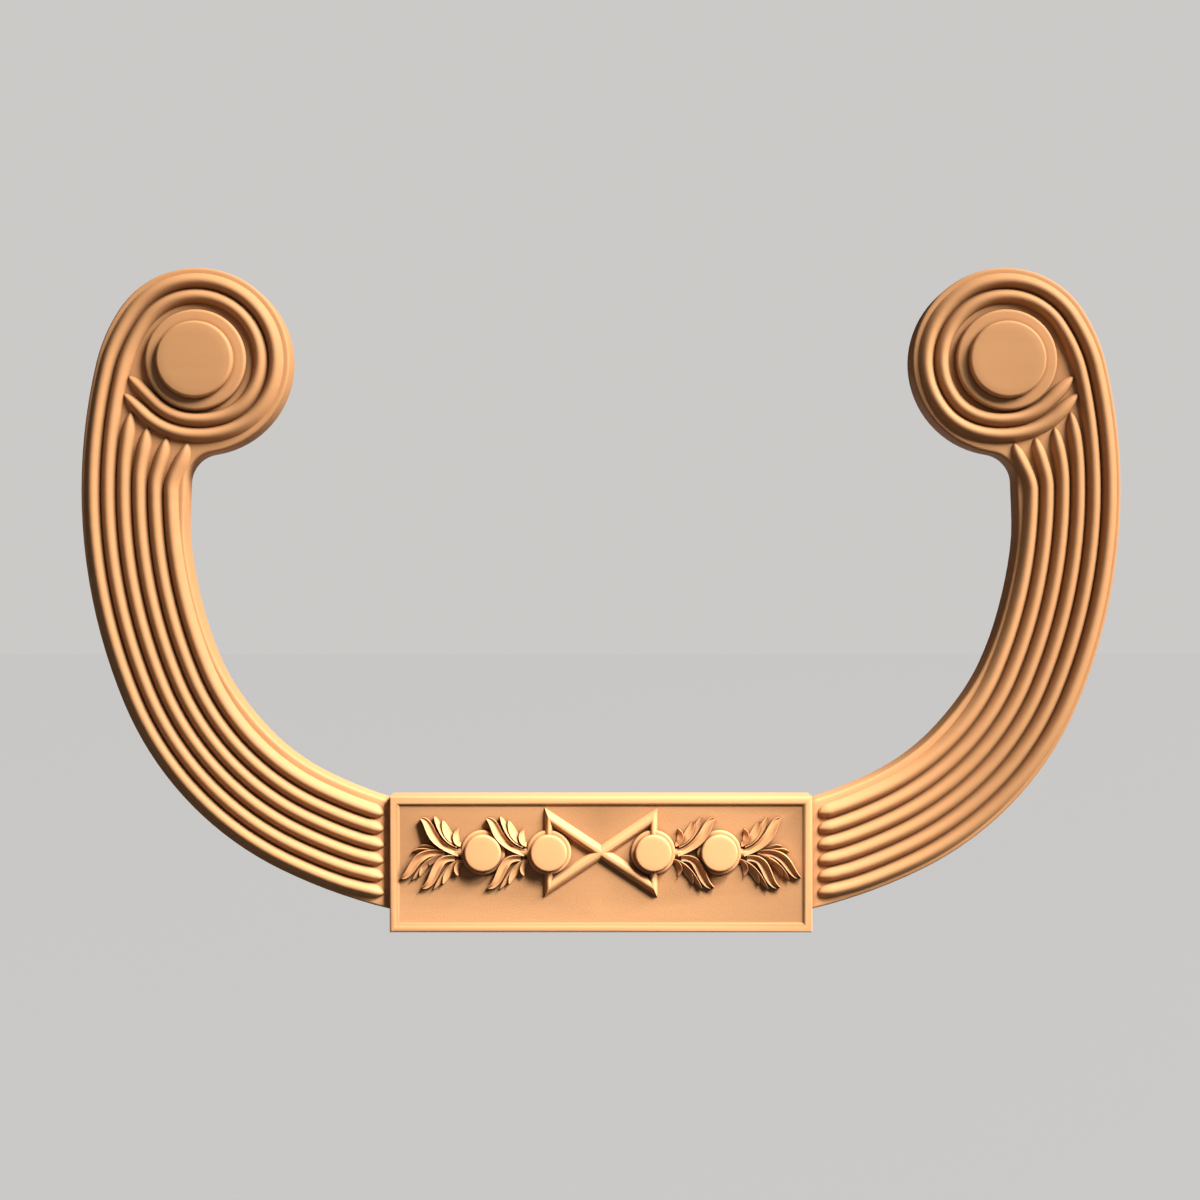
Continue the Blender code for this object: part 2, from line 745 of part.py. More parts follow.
def leaves(collection):
    inner, outer = disc_centres()
    sprays = (
        ("inner_upper", UPPER_LEAF, 1.0, inner),
        ("inner_lower", LOWER_LEAF, -1.0, inner),
        ("outer_upper", UPPER_LEAF, 1.0, outer),
        ("outer_lower", LOWER_LEAF, -1.0, outer),
        ("outer_far", FAR_LEAF, -1.0, outer),
    )
    made = []
    for label, leaf, turn, disc in sprays:
        for number, lobe in enumerate(leaf, start=1):
            made.append(leaf_lobe(f"{label}_lobe_{number}", lobe, turn, disc, collection))
    return made


# The whole onlay
def build():
    clear_scene()
    model = new_collection(COLLECTION_NAME)
    carving = new_collection("carving")
    guides = new_collection("guides")

    board = arm_board(model)
    board.name = "scroll_onlay"
    board.data.name = "scroll_onlay"
    board.data.materials.append(wood())

    additions = [tablet(carving), volute_boss(carving)]
    additions += reeds(carving, guides)
    additions += tablet_discs(carving)
    bars, blocks = bow(carving, guides)
    additions += bars
    additions += leaves(carving)
    additions += stems(carving, guides)
    hidden = additions + blocks
    for item in hidden:
        as_cutter(item)

    union = board.modifiers.new("carving", "BOOLEAN")
    union.operation = "UNION"
    union.solver = "EXACT"
    union.operand_type = "COLLECTION"
    union.collection = carving

    mirror = board.modifiers.new("right_half", "MIRROR")
    mirror.use_axis = (True, False, False)
    mirror.use_bisect_axis = (True, False, False)
    mirror.use_bisect_flip_axis = (True, False, False)
    mirror.merge_threshold = 0.00005

    stand = bpy.data.objects.new("upright", None)
    model.objects.link(stand)
    stand.rotation_euler = (math.pi / 2, 0.0, 0.0)
    for item in [board] + hidden:
        item.parent = stand


build()
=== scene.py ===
# %% [markdown]
# # A carved scroll onlay
# An onlay is a flat-backed ornament that is glued and pinned to a headboard, a mirror frame or
# a mantel. This one is a broad U cut from one board: two reeded arms rise from a framed tablet
# and curl into volutes with round bosses. We load its measured frame, then carve the same form
# again with a fine surface, give it a wood finish and set it in plain studio light.

# %% Load the frame
import json
import math

import bmesh
import bpy
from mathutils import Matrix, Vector

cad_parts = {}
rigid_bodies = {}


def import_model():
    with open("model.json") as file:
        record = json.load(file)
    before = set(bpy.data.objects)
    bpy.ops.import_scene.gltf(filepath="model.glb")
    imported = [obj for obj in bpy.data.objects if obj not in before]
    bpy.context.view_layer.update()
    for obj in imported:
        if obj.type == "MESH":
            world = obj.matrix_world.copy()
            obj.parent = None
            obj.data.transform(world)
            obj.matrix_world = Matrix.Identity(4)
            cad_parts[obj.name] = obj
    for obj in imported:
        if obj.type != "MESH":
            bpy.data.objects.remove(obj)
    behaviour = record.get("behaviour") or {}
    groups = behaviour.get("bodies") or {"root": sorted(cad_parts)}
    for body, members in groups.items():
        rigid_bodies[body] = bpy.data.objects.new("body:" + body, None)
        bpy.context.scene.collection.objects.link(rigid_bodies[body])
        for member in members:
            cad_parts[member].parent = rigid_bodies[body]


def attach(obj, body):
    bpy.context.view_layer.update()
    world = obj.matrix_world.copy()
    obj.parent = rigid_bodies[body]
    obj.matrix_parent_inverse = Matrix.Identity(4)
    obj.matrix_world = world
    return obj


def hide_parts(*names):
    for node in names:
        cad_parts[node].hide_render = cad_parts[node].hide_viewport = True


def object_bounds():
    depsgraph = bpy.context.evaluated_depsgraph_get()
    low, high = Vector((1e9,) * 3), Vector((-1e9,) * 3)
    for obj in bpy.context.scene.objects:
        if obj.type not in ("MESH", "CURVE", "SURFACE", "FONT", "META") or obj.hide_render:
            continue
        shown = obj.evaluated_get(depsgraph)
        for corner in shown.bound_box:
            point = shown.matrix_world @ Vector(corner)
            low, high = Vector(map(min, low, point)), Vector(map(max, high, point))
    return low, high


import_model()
frame_low, frame_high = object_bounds()
print("frame size in mm:", [round(side * 1000, 1) for side in frame_high - frame_low])

# %% [markdown]
# The picture looks at the onlay square on, from the height of its open middle, and close enough
# that the front of the tablet spreads a little past its back. A plain camera at that distance
# gives the same perspective, with no shift and no blur.

# %% Camera
CAMERA_PLACE = (-0.0005, -0.9366, 0.1318)
CAMERA_LENS = 55.23
CAMERA_SENSOR = 36.0

camera_data = bpy.data.cameras.new("camera")
camera_data.lens = CAMERA_LENS
camera_data.sensor_width = CAMERA_SENSOR
camera = bpy.data.objects.new("camera", camera_data)
camera.location = CAMERA_PLACE
camera.rotation_euler = (math.pi / 2, 0.0, 0.0)
bpy.context.scene.collection.objects.link(camera)
bpy.context.scene.camera = camera
print("camera distance:", -CAMERA_PLACE[1], "m")

# %% [markdown]
# A relief is easiest to model lying face up, like the board on the bench: X across, Y up the
# ornament and Z out of the wood. Only the left half is carved and the right half is mirrored,
# as a carver flips one paper pattern. The blanks that will be joined wait in a collection of
# their own. Three small helpers come first.

# %% Helpers
workshop = bpy.data.collections.new("workshop")
bpy.context.scene.collection.children.link(workshop)


def smoothstep(start, end, value):
    """Soft rise from 0 to 1 between start and end."""
    share = min(max((value - start) / (end - start), 0.0), 1.0)
    return share * share * (3.0 - 2.0 * share)


def direction(angle):
    """Unit vector at an angle from X."""
    return Vector((math.cos(angle), math.sin(angle)))


def add_solid(name, bm):
    """Object in the workshop, made from a bmesh."""
    bmesh.ops.recalc_face_normals(bm, faces=bm.faces)
    mesh = bpy.data.meshes.new(name)
    bm.to_mesh(mesh)
    bm.free()
    solid = bpy.data.objects.new(name, mesh)
    workshop.objects.link(solid)
    return solid


# %% [markdown]
# The outer edge of an arm is drawn as a pattern maker draws it with compasses: five arcs, each
# taking over where the last one ends and in the same direction, so the line never kinks. It
# runs from the tablet's side, round the haunch, up the side, over the crown and round the
# volute. Everything on the arm is then placed by two numbers, how far along this edge and how
# far in from it.

# %% Outer edge of an arm
TABLET_WIDTH = 0.2106
FOOT_DROP = 0.0230
FOOT_ANGLE = 256.5
FOOT_ARC = (0.2685, 12.45)
HAUNCH_ARC = (0.1623, 41.4)
SIDE_ARC = (0.2775, 35.85)
CROWN_ARC = (0.0845, 19.8)
VOLUTE_RADIUS = 0.0466
WRAP_END = -135.0


def edge_arcs():
    """Arcs as (centre, radius, start angle, sweep), tangent to one another."""
    angle = math.radians(FOOT_ANGLE)
    point = Vector((-TABLET_WIDTH / 2, -FOOT_DROP))
    arcs = []
    for radius, degrees in (FOOT_ARC, HAUNCH_ARC, SIDE_ARC, CROWN_ARC):
        sweep = math.radians(degrees)
        centre = point - direction(angle) * radius
        arcs.append((centre, radius, angle, sweep))
        angle -= sweep
        point = centre + direction(angle) * radius
    centre = point - direction(angle) * VOLUTE_RADIUS
    arcs.append((centre, VOLUTE_RADIUS, angle, angle - math.radians(WRAP_END)))
    return arcs


arcs = edge_arcs()
side_arc = arcs[2]
volute_arc = arcs[-1]
volute_centre = volute_arc[0]
arc_lengths = [radius * sweep for _, radius, _, sweep in arcs]
edge_length = sum(arc_lengths)
volute_start = edge_length - arc_lengths[-1]
print("outer edge:", round(edge_length * 1000), "mm; volute centre:", volute_centre)

# %% Places along the edge
CHORD_ERROR = 0.00004
LEAST_SPACING = CHORD_ERROR * 5


def edge_at(distance):
    """Point and inward normal of the outer edge at a distance along it."""
    left = min(max(distance, 0.0), edge_length)
    index = 0
    while index < len(arcs) - 1 and left > arc_lengths[index]:
        left -= arc_lengths[index]
        index += 1
    centre, radius, start, _ = arcs[index]
    outward = direction(start - left / radius)
    return centre + outward * radius, -outward


def arc_steps(radius, sweep):
    """Number of straight steps that keep an arc within the chord error."""
    return math.ceil(sweep / (2.0 * math.acos(1.0 - CHORD_ERROR / radius)))


def stations(first, last):
    """Distances between first and last, closer together on the tighter arcs."""
    marks = []
    start = 0.0
    for (_, radius, _, sweep), length in zip(arcs, arc_lengths):
        count = arc_steps(radius, sweep)
        marks += [start + length * i / count for i in range(count)]
        start += length
    marks = [mark for mark in marks if first + LEAST_SPACING < mark < last - LEAST_SPACING]
    return [first] + marks + [last]


def volute_distance(degrees):
    """Distance along the edge at which the volute has the given angle."""
    return volute_start + (volute_arc[2] - math.radians(degrees)) * VOLUTE_RADIUS


print("places along the edge:", len(stations(0.0, edge_length)))

# %% [markdown]
# The board under the reeds is one flat outline. Its inner line keeps a set width from the outer
# edge, a little wider at the haunch, and it meets the volute in a small round throat, where a
# router bit would leave one.

# %% Outline of the board
ARM_WIDTH = 0.0504
HAUNCH_WIDTH = 0.0524
WIDENING_START = 0.200
WIDENING_END = 0.120
THROAT_RADIUS = 0.0150
THROAT_FLARE = 0.0018
THROAT_FLARE_LENGTH = 0.040
ARM_ENTRY = 0.015


def arm_width(distance, throat_distance):
    """Width of the arm at a place along its outer edge."""
    share = smoothstep(WIDENING_END, WIDENING_START, distance)
    flare = smoothstep(throat_distance - THROAT_FLARE_LENGTH, throat_distance, distance)
    return HAUNCH_WIDTH + (ARM_WIDTH - HAUNCH_WIDTH) * share + THROAT_FLARE * flare


def throat_centre():
    """Middle of the circle that touches both the volute and the arm's inner line."""
    centre, radius, _, _ = side_arc
    reach = radius - ARM_WIDTH - THROAT_FLARE - THROAT_RADIUS
    gap = volute_centre - centre
    target = VOLUTE_RADIUS + THROAT_RADIUS
    along = (reach ** 2 - target ** 2 + gap.length_squared) / (2 * gap.length)
    across = math.sqrt(max(reach ** 2 - along ** 2, 0.0))
    axis = gap.normalized()
    side = Vector((axis.y, -axis.x)) * across
    return min(centre + axis * along + side, centre + axis * along - side, key=lambda p: p.y)


def board_outline():
    """Outer edge, throat and inner line of the left arm, as one loop of points."""
    middle = throat_centre()
    to_volute = volute_centre - middle
    to_arm = middle - side_arc[0]
    meeting = math.degrees(math.atan2(-to_volute.y, -to_volute.x))
    points = [edge_at(mark)[0] for mark in stations(0.0, volute_distance(meeting))]
    start = math.atan2(to_volute.y, to_volute.x)
    arm_angle = math.atan2(to_arm.y, to_arm.x) % (2 * math.pi)
    sweep = (arm_angle - start) % (2 * math.pi)
    count = arc_steps(THROAT_RADIUS, sweep)
    for i in range(1, count + 1):
        points.append(middle + direction(start + sweep * i / count) * THROAT_RADIUS)
    last = arc_lengths[0] + arc_lengths[1] + (side_arc[2] - arm_angle) * side_arc[1]
    inner = []
    for mark in stations(0.0, last)[:-1]:
        point, inward = edge_at(mark)
        inner.append(point + inward * arm_width(mark, last))
    inside = -TABLET_WIDTH / 2 + ARM_ENTRY
    ends = [Vector((inside, inner[0].y)), Vector((inside, -FOOT_DROP))]
    return points + inner[::-1] + ends


outline = board_outline()
print("points in the board's outline:", len(outline))

# %% [markdown]
# A filled 2D curve with an extrude turns the outline into a board. The front corner is eased
# with sandpaper on the real thing, so the front edges alone get a bevel. The back corner stays
# square, because it has to close against the surface behind.

# %% Cutting a board
ARM_THICKNESS = 0.0155
WELD = 0.000005


def flat_blank(name, points, thickness, lift=0.0):
    """Closed board with the given outline, its back at the given height."""
    curve = bpy.data.curves.new(name, "CURVE")
    curve.dimensions = "2D"
    curve.fill_mode = "BOTH"
    curve.extrude = thickness / 2
    spline = curve.splines.new("POLY")
    spline.points.add(len(points) - 1)
    for target, point in zip(spline.points, points):
        target.co = (point[0], point[1], lift + thickness / 2, 1.0)
    spline.use_cyclic_u = True
    return solid_from_curve(name, curve)


def solid_from_curve(name, curve):
    """Mesh of a curve, welded shut, in the workshop."""
    drawn = bpy.data.objects.new(name, curve)
    workshop.objects.link(drawn)
    bpy.context.view_layer.update()
    shape = drawn.evaluated_get(bpy.context.evaluated_depsgraph_get())
    mesh = bpy.data.meshes.new_from_object(shape)
    bpy.data.objects.remove(drawn, do_unlink=True)
    bm = bmesh.new()
    bm.from_mesh(mesh)
    bmesh.ops.remove_doubles(bm, verts=bm.verts, dist=WELD)
    return add_solid(name, bm)


# %% Easing its front edges
SHOULDER_ROUND = 0.0014
SHOULDER_STEPS = 4
FLAT_ANGLE = 0.05
FRONT_SHARE = 0.9


def ease_front_edges(board, height):
    """Rounds the corner all round the front of a board."""
    bm = bmesh.new()
    bm.from_mesh(board.data)
    flat = math.radians(FLAT_ANGLE)
    bmesh.ops.dissolve_limit(bm, angle_limit=flat, verts=bm.verts[:], edges=bm.edges[:])
    weight = bm.edges.layers.float.new("bevel_weight_edge")
    for edge in bm.edges:
        if all(vert.co.z > height for vert in edge.verts):
            edge[weight] = 1.0
    bm.to_mesh(board.data)
    bm.free()
    bevel = board.modifiers.new("shoulder", "BEVEL")
    bevel.limit_method = "WEIGHT"
    bevel.width = SHOULDER_ROUND
    bevel.segments = SHOULDER_STEPS


board = flat_blank("board", outline, ARM_THICKNESS)
ease_front_edges(board, ARM_THICKNESS * FRONT_SHARE)
print("board faces:", len(board.data.polygons))

# %% [markdown]
# Six reeds run side by side up the arm. A carver cuts the grooves with a V tool and rounds
# what is left, which gives soft ridges with narrow valleys between them. Here each reed is a
# ridge section drawn along its own path with a curve bevel, and the curve's radius makes its
# tips: blunt bullets at the tablet, long tapers under the volute. The section falls from its
# crest by a power of the distance: a lower power gives a slimmer ridge and a wider valley.

# %% Section of a reed or bar
REED_FACETS = 14
REED_CURVE = 2.0
BAR_CURVE = 2.2


def ridge_section(name, half_width, rise, root, power):
    """Closed section of a rounded ridge, a little below the ground at its root."""
    curve = bpy.data.curves.new(name, "CURVE")
    curve.dimensions = "2D"
    curve.fill_mode = "NONE"
    shares = [math.cos(math.pi * i / REED_FACETS) for i in range(REED_FACETS + 1)]
    points = [(half_width * share, rise * (1.0 - abs(share) ** power)) for share in shares]
    points += [(-half_width, -root), (half_width, -root)]
    spline = curve.splines.new("POLY")
    spline.points.add(len(points) - 1)
    for target, (across, up) in zip(spline.points, points):
        target.co = (across, up, 0.0, 1.0)
    spline.use_cyclic_u = True
    section = bpy.data.objects.new(name, curve)
    workshop.objects.link(section)
    return section


def drawn_bar(name, path, section, level):
    """Solid drawn along (point, scale) pairs with the given section."""
    curve = bpy.data.curves.new(name, "CURVE")
    curve.dimensions = "3D"
    curve.twist_mode = "Z_UP"
    curve.bevel_mode = "OBJECT"
    curve.bevel_object = section
    curve.use_fill_caps = True
    spline = curve.splines.new("POLY")
    spline.points.add(len(path) - 1)
    for target, (point, scale) in zip(spline.points, path):
        target.co = (point.x, point.y, level, 1.0)
        target.radius = scale
    return solid_from_curve(name, curve)


# %% Path of a reed
REED_COUNT = 6
REED_PITCH = 0.0078
REED_HALF_WIDTH = 0.00385
REED_HEIGHT = 0.0035
REED_MARGIN = 0.0021
REED_ROOT = 0.0012
FOOT_MARGIN_GROWTH = 0.0013
FOOT_MARGIN_LENGTH = 0.030
VOLUTE_MARGIN_GROWTH = 0.0007
VOLUTE_MARGIN_LENGTH = 0.036
WRAP_DRIFT = 0.0025
WRAP_DRIFT_START = -40.0
WRAP_DRIFT_END = -95.0


def reed_offset(index, distance):
    """Distance of a reed's crest from the outer edge, at a place along the edge."""
    volute_share = smoothstep(volute_start - VOLUTE_MARGIN_LENGTH, volute_start, distance)
    drift_from = volute_distance(WRAP_DRIFT_START)
    drift_share = smoothstep(drift_from, volute_distance(WRAP_DRIFT_END), distance)
    foot_share = 1.0 - smoothstep(0.0, FOOT_MARGIN_LENGTH, distance)
    margin = REED_MARGIN + FOOT_MARGIN_GROWTH * foot_share
    margin += VOLUTE_MARGIN_GROWTH * volute_share + WRAP_DRIFT * drift_share
    return margin + (index + 0.5) * REED_PITCH


def reed_point(index, distance, flare=0.0):
    """Point on a reed's crest line. Past the edge's end it runs on straight."""
    point, inward = edge_at(distance)
    point = point + inward * (reed_offset(index, distance) + flare)
    beyond = max(distance - edge_length, 0.0)
    return point + Vector((-inward.y, inward.x)) * beyond


print("outermost crest:", round(reed_offset(0, volute_start) * 1000, 2), "mm in from the edge")

# %% [markdown]
# The two outer reeds wrap right round the volute and end in rounded tails. The four inner ones
# stop short of that wrap: each leans a little towards the throat and tapers to a tip. All six
# start just clear of the tablet, on one upright line.

# %% Ends of a reed
WRAPPING_REEDS = 2
FOOT_GAP = 0.0030
FOOT_TIP = 0.0080
WRAP_TAILS = (0.0140, 0.0184)
WRAP_TIP = 0.0150
SCROLL_TIP = 0.0145
SCROLL_TIP_CLEARANCE = 0.0003
SCROLL_TIP_SHIFT = 0.0008
SCROLL_TIP_FLARE = 0.0064
SCROLL_FLARE_CURVE = 1.5
SEARCH_STEP = 0.00025
TIP_FULLNESS = 0.57
TIP_LEAST = 0.02


def foot_start(index):
    """Where a reed begins, just clear of the tablet's side."""
    distance = 0.0
    while reed_point(index, distance).x > -TABLET_WIDTH / 2 - FOOT_GAP:
        distance += SEARCH_STEP
    return distance


def scroll_end(index):
    """Where an ending reed comes up to the wrapped ones, and how far it leans."""
    reach = VOLUTE_RADIUS - reed_offset(0, edge_length)
    reach += REED_HALF_WIDTH + SCROLL_TIP_CLEARANCE
    share = (index - WRAPPING_REEDS) / (REED_COUNT - 1 - WRAPPING_REEDS)
    lean = SCROLL_TIP_SHIFT + SCROLL_TIP_FLARE * share ** SCROLL_FLARE_CURVE
    distance = volute_start / 2
    while (reed_point(index, distance, lean) - volute_centre).length > reach:
        distance += SEARCH_STEP
    return distance, lean


def tip_scale(distance, length):
    """Share of a reed's full section at a distance from its rounded end."""
    share = min(max(distance / length, 0.0), 1.0)
    return max((1.0 - (1.0 - share) ** 2) ** TIP_FULLNESS, TIP_LEAST)


starts = [round(foot_start(index) * 1000, 1) for index in range(REED_COUNT)]
print("starts of the reeds along the edge, in mm:", starts)

# %% Reeds
SCROLL_FLARE_LENGTH = 0.030
FLARE_STEPS = 8
TIP_STATIONS = (0.0, 0.02, 0.06, 0.12, 0.2, 0.3, 0.42, 0.56, 0.72, 0.86)


def reed_path(index):
    """Places along a reed's crest, each with its share of the full section."""
    first = foot_start(index)
    lean = 0.0
    if index < WRAPPING_REEDS:
        last = edge_length + WRAP_TAILS[index]
        tip = WRAP_TIP
    else:
        last, lean = scroll_end(index)
        tip = SCROLL_TIP
    marks = [first + FOOT_TIP * share for share in TIP_STATIONS]
    marks += stations(first + FOOT_TIP, last - tip)
    if lean > 0.0:
        flare_end = last - tip
        flare_span = SCROLL_FLARE_LENGTH - tip
        marks += [flare_end - flare_span * (i + 0.5) / FLARE_STEPS for i in range(FLARE_STEPS)]
        marks.sort()
    marks += [last - tip * share for share in reversed(TIP_STATIONS)]
    path = []
    for mark in marks:
        flare = lean * smoothstep(last - SCROLL_FLARE_LENGTH, last, mark)
        scale = tip_scale(mark - first, FOOT_TIP) * tip_scale(last - mark, tip)
        path.append((reed_point(index, mark, flare), scale))
    return path


reed_section = ridge_section(
    "reed_section", REED_HALF_WIDTH, REED_HEIGHT, REED_ROOT, REED_CURVE
)
blanks = []
for index in range(REED_COUNT):
    path = reed_path(index)
    blanks.append(drawn_bar(f"reed_{index + 1}", path, reed_section, ARM_THICKNESS))
    print("reed", index + 1, "has", len(path), "places along it")

# %% [markdown]
# The bosses in the volutes and the four discs on the tablet are turned shapes: a round collar
# with a smaller crown on it, its side nearly upright. A lathe makes them from a profile, and so
# does the Screw modifier. The corners of the profile are quarter rounds, and the crown is very
# slightly domed, as a sanded one is.

# %% Turned buttons
QUARTER_STEPS = 4
DOME_STEPS = 5
TURN_WELD = 0.00001


def quarter(centre_radius, top, rounding):
    """Points of a quarter round from the flat top over to the upright side."""
    points = []
    for i in range(QUARTER_STEPS + 1):
        angle = math.pi / 2 * (1.0 - i / QUARTER_STEPS)
        across = centre_radius + rounding * math.cos(angle)
        points.append((across, top - rounding + rounding * math.sin(angle)))
    return points


def turned_button(name, centre, level, collar, crown, segments):
    """Button with a collar (radius, height, rounding) and a crown (also slope and dome)."""
    collar_radius, collar_height, collar_round = collar
    crown_radius, crown_height, crown_round, slope, dome = crown
    shelf = level + collar_height
    top = shelf + crown_height
    flat = crown_radius - crown_round
    profile = []
    for i in range(DOME_STEPS):
        share = i / DOME_STEPS
        profile.append((flat * share, top + dome * (1.0 - share ** 2)))
    profile += quarter(flat, top, crown_round)
    profile.append((crown_radius + slope, shelf))
    profile += quarter(collar_radius - collar_round, shelf, collar_round)
    profile += [(collar_radius, level - REED_ROOT), (0.0, level - REED_ROOT)]
    mesh = bpy.data.meshes.new(name)
    edges = [(i, i + 1) for i in range(len(profile) - 1)]
    mesh.from_pydata([(radius, 0.0, height) for radius, height in profile], edges, [])
    button = bpy.data.objects.new(name, mesh)
    workshop.objects.link(button)
    button.location = (centre.x, centre.y, 0.0)
    screw = button.modifiers.new("turn", "SCREW")
    screw.steps = segments
    screw.render_steps = segments
    screw.use_merge_vertices = True
    screw.merge_threshold = TURN_WELD
    return button


# %% Bosses and discs
BOSS_COLLAR = (0.0253, 0.0034, 0.0016)
BOSS_CROWN = (0.0192, 0.0034, 0.0016, 0.0002, 0.0002)
BOSS_SEGMENTS = 112
TABLET_FIELD = 0.0182
ORNAMENT_RAISE = 0.0060
INNER_DISC_OFFSET = 0.0260
DISC_PITCH = 0.0328
DISC_COLLAR = (0.0112, 0.0018, 0.0011)
DISC_CROWN = (0.0090, 0.0041, 0.0009, 0.0002, 0.0001)
DISC_SEGMENTS = 64

inner_disc = Vector((-INNER_DISC_OFFSET, ORNAMENT_RAISE))
outer_disc = inner_disc - Vector((DISC_PITCH, 0.0))
blanks.append(
    turned_button("boss", volute_centre, ARM_THICKNESS, BOSS_COLLAR, BOSS_CROWN, BOSS_SEGMENTS)
)
for name, centre in (("inner_disc", inner_disc), ("outer_disc", outer_disc)):
    blanks.append(
        turned_button(name, centre, TABLET_FIELD, DISC_COLLAR, DISC_CROWN, DISC_SEGMENTS)
    )
print("disc centres:", inner_disc, outer_disc)

# %% [markdown]
# The tablet is a thicker block with a bead standing round a flat field. The bead is cut in the
# same wood, so it isn't four strips: the front face of a box is inset step by step, and each
# step is lifted or lowered to follow the bead's section, which rounds over from the tablet's
# side and falls to the field in a short slope. The corners mitre by themselves.

# %% Tablet with its bead
TABLET_HEIGHT = 0.0676
BEAD_SECTION = (
    (0.0, 0.00070), (0.0003, 0.00090), (0.0009, 0.00110), (0.0018, 0.00124), (0.0028, 0.00130),
    (0.0038, 0.00126), (0.0047, 0.00114), (0.0054, 0.00092), (0.0060, 0.00060), (0.0064, 0.00030),
    (0.0067, 0.00008), (0.0070, 0.0),
)


def beaded_tablet():
    """Block of the tablet, its front face stepped into the bead and the field."""
    edge_height = TABLET_FIELD + BEAD_SECTION[0][1]
    bm = bmesh.new()
    bmesh.ops.create_cube(bm, size=1.0)
    bmesh.ops.scale(bm, vec=(TABLET_WIDTH, TABLET_HEIGHT, edge_height), verts=bm.verts)
    bmesh.ops.translate(bm, vec=(0.0, 0.0, edge_height / 2), verts=bm.verts)
    field = max(bm.faces, key=lambda face: face.calc_center_median().z)
    for (before, height), (inset, rise) in zip(BEAD_SECTION, BEAD_SECTION[1:]):
        bmesh.ops.inset_region(bm, faces=[field], thickness=inset - before)
        bmesh.ops.translate(bm, vec=(0.0, 0.0, rise - height), verts=field.verts)
    return add_solid("tablet", bm)


blanks.append(beaded_tablet())
print("tablet:", TABLET_WIDTH, "by", TABLET_HEIGHT, "m")

# %% [markdown]
# The bow in the tablet's middle is four rounded bars: two diagonals that cross and an upright
# at each side, under the inner discs. The crossing mitres by itself, as both bars have one
# height. The outer corners are true pointed mitres, so the bars are made too long and three
# prisms trim them: one for the diagonals and one for each upright, touching in the mitres.

# %% Mitres of the bow
BOW_HALF_HEIGHT = 0.0225
DIAGONAL_HALF_WIDTH = 0.0031
UPRIGHT_HALF_WIDTH = 0.0022

bow_side = INNER_DISC_OFFSET + UPRIGHT_HALF_WIDTH
bow_slope = math.atan2(BOW_HALF_HEIGHT - DIAGONAL_HALF_WIDTH, bow_side)
bow_waist = DIAGONAL_HALF_WIDTH / math.cos(bow_slope)
bow_middle = Vector((0.0, ORNAMENT_RAISE))


def mitre_corners():
    """Outer and inner corner of the bow where a diagonal meets an upright."""
    inner_side = bow_side - 2 * UPRIGHT_HALF_WIDTH
    fall = (BOW_HALF_HEIGHT - bow_waist) / bow_side
    return Vector((bow_side, BOW_HALF_HEIGHT)), Vector((inner_side, inner_side * fall - bow_waist))


def bow_prisms():
    """Blocks that trim the diagonals and the uprights, meeting in the four mitres."""
    outer, inner = mitre_corners()
    across = [outer, inner, Vector((inner.x, -inner.y)), Vector((outer.x, -outer.y))]
    waist = Vector((0.0, bow_waist))
    middle = across + [-waist] + [-corner for corner in across] + [waist]
    mirrored = [Vector((-corner.x, corner.y)) for corner in reversed(across)]
    blocks = []
    for name, corners in (("middle", middle), ("right_side", across), ("left_side", mirrored)):
        corners = [bow_middle + corner for corner in corners]
        blocks.append(flat_blank(name, corners, TABLET_FIELD, TABLET_FIELD / 2))
    return blocks


print("bow:", round(2000 * bow_side, 1), "mm across")

# %% Bars of the bow
BAR_RISE = 0.0030
BAR_ROOT = 0.0008
BAR_OVERRUN = 1.2


def bow_bars():
    """Bars that run past the corners, each with the prism that trims it."""
    reach_up = BOW_HALF_HEIGHT - bow_waist
    sizes = (BAR_RISE, BAR_ROOT, BAR_CURVE)
    diagonal = ridge_section("diagonal_section", DIAGONAL_HALF_WIDTH, *sizes)
    upright = ridge_section("upright_section", UPRIGHT_HALF_WIDTH, *sizes)
    middle, right, left = bow_prisms()
    offset = Vector((INNER_DISC_OFFSET, 0.0))
    runs = (
        ("rising_bar", bow_middle, Vector((bow_side, reach_up)), diagonal, middle),
        ("falling_bar", bow_middle, Vector((bow_side, -reach_up)), diagonal, middle),
        ("left_upright", bow_middle - offset, Vector((0.0, BOW_HALF_HEIGHT)), upright, left),
        ("right_upright", bow_middle + offset, Vector((0.0, BOW_HALF_HEIGHT)), upright, right),
    )
    bars = []
    for name, centre, reach, section, block in runs:
        path = [(centre - reach * BAR_OVERRUN, 1.0), (centre + reach * BAR_OVERRUN, 1.0)]
        bar = drawn_bar(name, path, section, TABLET_FIELD)
        trim = bar.modifiers.new("trim", "BOOLEAN")
        trim.operation = "INTERSECT"
        trim.solver = "EXACT"
        trim.object = block
        bars.append(bar)
    return bars


blanks += bow_bars()
print("blanks so far:", len(blanks))

# %% [markdown]
# Five sprays of leaves lie beside each pair of discs. A carver draws each lobe by its outer
# edge, cuts down outside that edge, and then hollows the lobe beside it with a gouge, so the
# edge is left as a thin high crest and the far side of the hollow rises to a lower rim. The
# lobe is lofted in the same way: a cubic curve gives the crest, and a section with that gouge
# cut follows it. Places are measured from the disc's centre, root first and tip last. After the
# four places come the lobe's width, its height as a share of the tallest one, and its rim's
# height as a share of the crest's.

